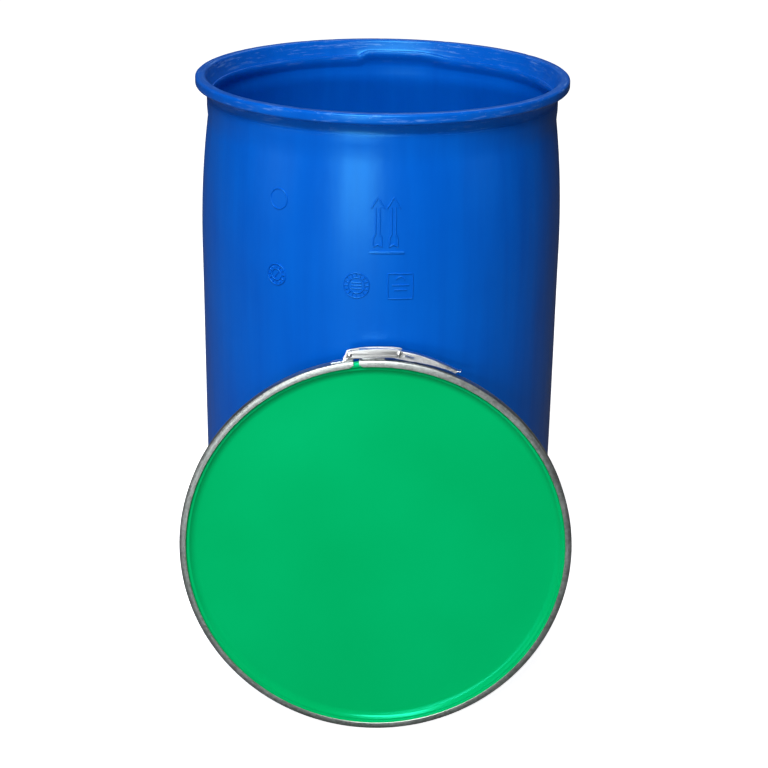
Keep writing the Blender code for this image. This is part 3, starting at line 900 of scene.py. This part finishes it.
def carve(obj, cutter_meshes):
    """Takes the cutters out of a closed mesh object."""
    helpers = []
    for mesh in cutter_meshes:
        helper = bpy.data.objects.new("cutter", mesh)
        bpy.context.scene.collection.objects.link(helper)
        helpers.append(helper)
        boolean = obj.modifiers.new("cut", "BOOLEAN")
        boolean.operation = "DIFFERENCE"
        boolean.solver = "EXACT"
        boolean.object = helper
    apply_modifiers(obj)
    for helper in helpers:
        bpy.data.objects.remove(helper, do_unlink=True)


def soften(obj, width):
    """Rounds the sharp edges of a closed mesh object."""
    bevel = obj.modifiers.new("edges", "BEVEL")
    bevel.width = width
    bevel.segments = 2
    bevel.limit_method = "ANGLE"
    bevel.angle_limit = math.radians(SHARP_ANGLE)
    bevel.harden_normals = False
    apply_modifiers(obj)


def place_in_ring(obj, body, nodes):
    """Brings a closure piece from the ring's plane into the world and hands it to its body."""
    obj.data.transform(RING_FRAME)
    obj.data.shade_smooth()
    obj.data.set_sharp_from_angle(angle=math.radians(SHARP_ANGLE))
    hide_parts(*nodes)
    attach(obj, body)


def around(pivot, radius, start, end, count):
    """Arc round a pivot of the closure."""
    return arc(on_ring(*pivot), radius, start, end, count)


def pin_hole(pivot):
    return around(pivot, HOLE_RADIUS, 0, 350, 35)


def pin_cutter(pivot):
    return outline_mesh("hole", [pin_hole(pivot)], -CUTTER_REACH, CUTTER_REACH)


def make_bracket(name, outline, inner, half_width, pivot, surface, body):
    """Strap with two ears: a solid outline, hollowed between the ears and drilled for its pin."""
    mesh = outline_mesh(name, [outline], -half_width, half_width)
    bracket = add_object(name, mesh, surface)
    inside = half_width - SHEET
    carve(bracket, [outline_mesh("inside", [inner], -inside, inside), pin_cutter(pivot)])
    soften(bracket, EDGE_ROUND)
    place_in_ring(bracket, body, [name.replace("_piece", "")])


def make_hinge_bracket(surface):
    """Bracket on the ring's left end, round the pivot of the link."""
    top = BRACKET_BASE + SHEET
    above = PIVOT_A[0] + 0.012
    outline = ring_arc(BRACKET_BASE, -7.10, -13.4, 8) + [on_ring(top, -13.4)]
    outline += ring_arc(top, -12.6, -9.95, 4) + around(PIVOT_A, 0.0058, 140, 0, 14)
    inner = [on_ring(top, -13.9), on_ring(top, -11.0), on_ring(top, -9.0), on_ring(top, -5.6)]
    inner += [on_ring(above, -5.6), on_ring(above, -13.9)]
    half = HINGE_BRACKET_HALF
    make_bracket("hinge_bracket_piece", outline, inner, half, PIVOT_A, surface, "ring_left")


def make_lever_bracket(surface):
    """Bracket on the ring's right end, round the pivot of the lever."""
    top = BRACKET_BASE + SHEET
    above = PIVOT_B[0] + 0.010
    start = PIVOT_B[1] + 0.28
    outline = ring_arc(BRACKET_BASE, start, 2.0, 8) + [on_ring(top, 2.0)]
    outline += ring_arc(top, 1.0, PIVOT_B[1] + 2.6, 4) + around(PIVOT_B, 0.0045, 20, 260, 18)
    inner = [on_ring(top, start - 2.5), on_ring(top, -2.5), on_ring(top, 0.0), on_ring(top, 2.6)]
    inner += [on_ring(above, 2.6), on_ring(above, start - 2.5)]
    half = LEVER_BRACKET_HALF
    make_bracket("lever_bracket_piece", outline, inner, half, PIVOT_B, surface, "ring_right")


def lever_stations():
    """Top line of the lever from heel to tip, with the depth of its side plates."""
    angles = np.linspace(LEVER_TOPS[0][0], LEVER_TOPS[-1][0], LEVER_STATIONS)
    top_radius = np.interp(angles, *zip(*LEVER_TOPS))
    kernel = np.array([1, 2, 3, 2, 1]) / 9
    padded = np.pad(top_radius, 2, mode="edge")
    top_radius = np.convolve(padded, kernel, "valid")
    low_radius = np.interp(angles, *zip(*LEVER_LOWS))
    stations = []
    for angle, top, low in zip(angles, top_radius, low_radius):
        stations.append((Vector(on_ring(top, angle)), max(LEVER_LEAST_DEPTH, top - low)))
    return stations


def lip_stations(stations):
    """The tip's upward curl, carried on from the lever's last two stations."""
    last = stations[-1][0]
    direction = (last - stations[-2][0]).normalized()
    normal = Vector((-direction.y, direction.x))
    pivot = last + normal * LIP_RADIUS
    arm = -normal * LIP_RADIUS
    lip = []
    for i in range(1, LIP_STEPS + 1):
        turn = math.radians(LIP_TURN * i / LIP_STEPS)
        c, s = math.cos(turn), math.sin(turn)
        lip.append((pivot + Vector((arm.x * c - arm.y * s, arm.x * s + arm.y * c)), LIP_DEPTH))
    return lip


def lever_sections():
    """Channel sections along the lever and its lip, each square to the top line."""
    stations = lever_stations()
    stations += lip_stations(stations)
    points = [point for point, _ in stations]
    sections = []
    for i, (point, depth) in enumerate(stations):
        before = points[max(0, i - 1)]
        after = points[min(len(points) - 1, i + 1)]
        along = (after - before).normalized()
        up = Vector((-along.y, along.x))
        half = LEVER_HALF if i < len(points) - 1 else LEVER_HALF - LIP_TAPER
        sections.append(channel_section(point, up, depth, half))
    return sections


def channel_section(point, up, depth, half):
    """Upside-down U across the lever: outer skin, then the inside back again."""
    bend = min(LEVER_BEND, depth * 0.45)
    tight = max(0.0002, bend - SHEET)
    edge = half - min(SHEET, depth * 0.9)
    roof = -min(SHEET, depth * 0.85)
    loop = [(-half, -depth)] + arc((-half + bend, -bend), bend, 180, 90, 5)
    loop += arc((half - bend, -bend), bend, 90, 0, 5) + [(half, -depth)]
    loop += [(edge, -depth)] + arc((edge - tight, roof - tight), tight, 0, 90, 3)
    loop += arc((-edge + tight, roof - tight), tight, 90, 180, 3) + [(-edge, -depth)]
    section = []
    for across, rise in loop:
        place = point + up * rise
        section.append((place.x, place.y, across))
    return section


def make_lever(surface):
    """The lever, with a seal slot through each side plate and holes for its two pivots."""
    mesh = sweep_mesh("lever_handle", lever_sections(), False)
    lever = add_object("lever_handle", mesh, surface)
    half = SEAL_SLOT_HALF
    first, last = [Vector(on_ring(*end)) for end in SEAL_SLOT]
    tilt = math.degrees(math.atan2(last.y - first.y, last.x - first.x))
    outline = arc(first, half, tilt + 90, tilt + 270, 8) + arc(last, half, tilt - 90, tilt + 90, 8)
    slots = [outline_mesh("slot", [outline], low, low + SEAL_SLOT_CUT) for low in SEAL_SLOT_LOWS]
    carve(lever, slots + [pin_cutter(PIVOT_B), pin_cutter(PIVOT_C)])
    place_in_ring(lever, "lever", ["lever"])


def make_link(name, low, high, surface, node):
    """One link plate between the ring's left end and the lever."""
    start, end = PIVOT_A[1], PIVOT_C[1]
    first = 90 - start
    last = 90 - end
    shares = np.linspace(0.0, 1.0, 16)
    halves = np.interp(shares, np.linspace(0.0, 1.0, len(LINK_HALF_HEIGHTS)), LINK_HALF_HEIGHTS)
    radii = PIVOT_A[0] + (PIVOT_C[0] - PIVOT_A[0]) * shares
    angles = start + (end - start) * shares
    stations = list(zip(radii, halves, angles))
    outline = around(PIVOT_A, LINK_HALF_HEIGHTS[0], first + 180, first, 14)[:-1]
    outline += [on_ring(radius + half, angle) for radius, half, angle in stations]
    outline += around(PIVOT_C, LINK_HALF_HEIGHTS[-1], last, last - 180, 14)[1:-1]
    outline += [on_ring(radius - half, angle) for radius, half, angle in reversed(stations)][:-1]
    holes = [pin_hole(PIVOT_A), pin_hole(PIVOT_C)]
    link = add_object(name, outline_mesh(name, [outline] + holes, low, high), surface)
    soften(link, LINK_EDGE_ROUND)
    place_in_ring(link, "link", [node])


def head(low, radius):
    """Domed rivet head from its crown down to the edge of its underside."""
    sphere = (radius**2 + HEAD_HEIGHT**2) / (2 * HEAD_HEIGHT)
    crown = low + HEAD_HEIGHT + 0.00012
    points = []
    for i in range(7):
        r = radius * 0.94 * i / 6
        points.append((r, crown - sphere + math.sqrt(sphere**2 - r**2)))
    return points + [(radius * 0.99, low + 0.00035), (radius, low + 0.00018), (radius, low)]


def make_rivet(name, pivot, profile, surface, body, nodes):
    x, y = on_ring(*pivot)
    rivet = revolve(name, lambda angle: profile, 40, surface, Matrix.Translation((x, y, 0.0)))
    place_in_ring(rivet, body, nodes)


def make_rivets(surface):
    """The lever's plain pin, the link's headed rivet, and the ring end's core and two heads."""
    reach = LINK_OUTER + HEAD_GAP
    pin = HINGE_BRACKET_HALF
    shank = PIN_RADIUS - 0.0001
    plain = [(0.0, pin), (PIN_RADIUS - 0.0004, pin), (PIN_RADIUS, pin - 0.0004)]
    plain += flipped(plain)
    through = head(reach, LINK_HEAD_RADIUS) + [(shank, reach)]
    through += flipped(through)
    stud = head(reach, END_HEAD_RADIUS) + [(shank, reach), (shank, LINK_INNER), (0.0, LINK_INNER)]
    make_rivet("lever_pin", PIVOT_B, plain, surface, "ring_right", ["lever_pivot_rivet"])
    make_rivet("link_pin", PIVOT_C, through, surface, "lever", ["link_rivet"])
    make_rivet("ring_end_pin", PIVOT_A, plain, surface, "ring_left", ["ring_end_rivet"])
    make_rivet("ring_end_cap_front", PIVOT_A, stud, surface, "link", ["ring_end_head_front"])
    make_rivet("ring_end_cap_rear", PIVOT_A, flipped(stud), surface, "link", ["ring_end_head_rear"])


def make_ring_and_lever():
    zinc = galvanised("galvanised_band", BAND_LIGHT, BAND_DARK, 0.36, 0.52)
    bright = galvanised("galvanised_pressings", PRESSING_LIGHT, PRESSING_DARK, 0.28, 0.42)
    plate = brushed("link_steel")
    left_nodes = ["clamp_ring_left", "clamp_ring_base"]
    right_nodes = ["clamp_ring_right"]
    make_ring_half("ring_band_left", -180.0, LEFT_END, zinc, left_nodes)
    make_ring_half("ring_band_right", 180.0, RIGHT_END, zinc, right_nodes)
    make_hinge_bracket(bright)
    make_lever_bracket(bright)
    make_lever(bright)
    make_link("link_plate_front", LINK_INNER, LINK_OUTER, plate, "link_front")
    make_link("link_plate_rear", -LINK_OUTER, -LINK_INNER, plate, "link_rear")
    make_rivets(rivet_metal())


# ---------------------------------------------------------------- studio

WORLD_LIGHT = 0.05
CAMERA_LENS = 79.17
CAMERA_AWAY = 2.6466
CAMERA_RIGHT = 0.0165
CAMERA_HEIGHT = 1.4949
CAMERA_PITCH = math.radians(21.982)
CAMERA_ROLL = math.radians(0.787)
CAMERA_YAW = math.radians(0.172)
FLOOR_SIZE = 30.0
LIGHTS_AIM = (0.0, 0.0, 0.55)
# name, place, width, height and power of each light
LIGHTS = (
    ("key", (-1.00, -4.45, 5.80), 3.2, 2.2, 460.0),
    ("strip_low", (-0.80, -3.15, 0.62), 1.2, 0.5, 13.5),
    ("strip_high", (-0.70, -2.95, 1.32), 0.9, 0.10, 14.0),
    ("left", (-2.6, -1.2, 1.2), 1.2, 1.6, 5.0),
    ("right", (2.6, -1.4, 1.3), 1.2, 1.6, 2.5),
    ("back", (0.4, 2.6, 3.4), 1.8, 1.2, 12.0),
)


def make_camera():
    """Looks down on the drum from the front, turned and rolled very slightly."""
    data = bpy.data.cameras.new("camera")
    data.lens = CAMERA_LENS
    data.sensor_width = 36.0
    camera = bpy.data.objects.new("camera", data)
    place = DRUM_AXIS + Vector((CAMERA_RIGHT, -CAMERA_AWAY, CAMERA_HEIGHT))
    turn = Matrix.Rotation(CAMERA_YAW, 4, "Z") @ Matrix.Rotation(math.pi / 2 - CAMERA_PITCH, 4, "X")
    turn = turn @ Matrix.Rotation(CAMERA_ROLL, 4, "Z")
    camera.matrix_world = Matrix.Translation(place) @ turn
    bpy.context.scene.collection.objects.link(camera)
    bpy.context.scene.camera = camera


def area_light(name, place, width, height, power):
    data = bpy.data.lights.new(name, "AREA")
    data.shape = "RECTANGLE"
    data.size = width
    data.size_y = height
    data.energy = power
    light = bpy.data.objects.new(name, data)
    light.location = place
    aim = Vector(LIGHTS_AIM) - Vector(place)
    light.rotation_euler = aim.to_track_quat("-Z", "Y").to_euler()
    bpy.context.scene.collection.objects.link(light)


def make_floor():
    mesh = bpy.data.meshes.new("studio_floor")
    size = FLOOR_SIZE
    corners = [(-size, -size, 0), (size, -size, 0), (size, size, 0), (-size, size, 0)]
    mesh.from_pydata(corners, [], [(0, 1, 2, 3)])
    floor = add_object("studio_floor", mesh, floor_paint())


def make_world():
    """White for the lens, and only a faint light on the object."""
    world = bpy.data.worlds.new("studio")
    world.use_nodes = True
    tree = world.node_tree
    background = tree.nodes["Background"]
    background.inputs["Color"].default_value = (1.0, 1.0, 1.0, 1.0)
    lens = tree.nodes.new("ShaderNodeLightPath").outputs["Is Camera Ray"]
    level = tree.nodes.new("ShaderNodeMapRange")
    level.inputs["To Min"].default_value = WORLD_LIGHT
    level.inputs["To Max"].default_value = 1.0
    tree.links.new(lens, level.inputs["Value"])
    tree.links.new(level.outputs["Result"], background.inputs["Strength"])
    bpy.context.scene.world = world


def make_studio():
    make_floor()
    make_world()
    for light in LIGHTS:
        area_light(*light)
    bpy.context.scene.view_settings.view_transform = "Standard"


make_camera()
make_drum()
make_lid()
make_ring_and_lever()
make_studio()

bpy.context.view_layer.update()
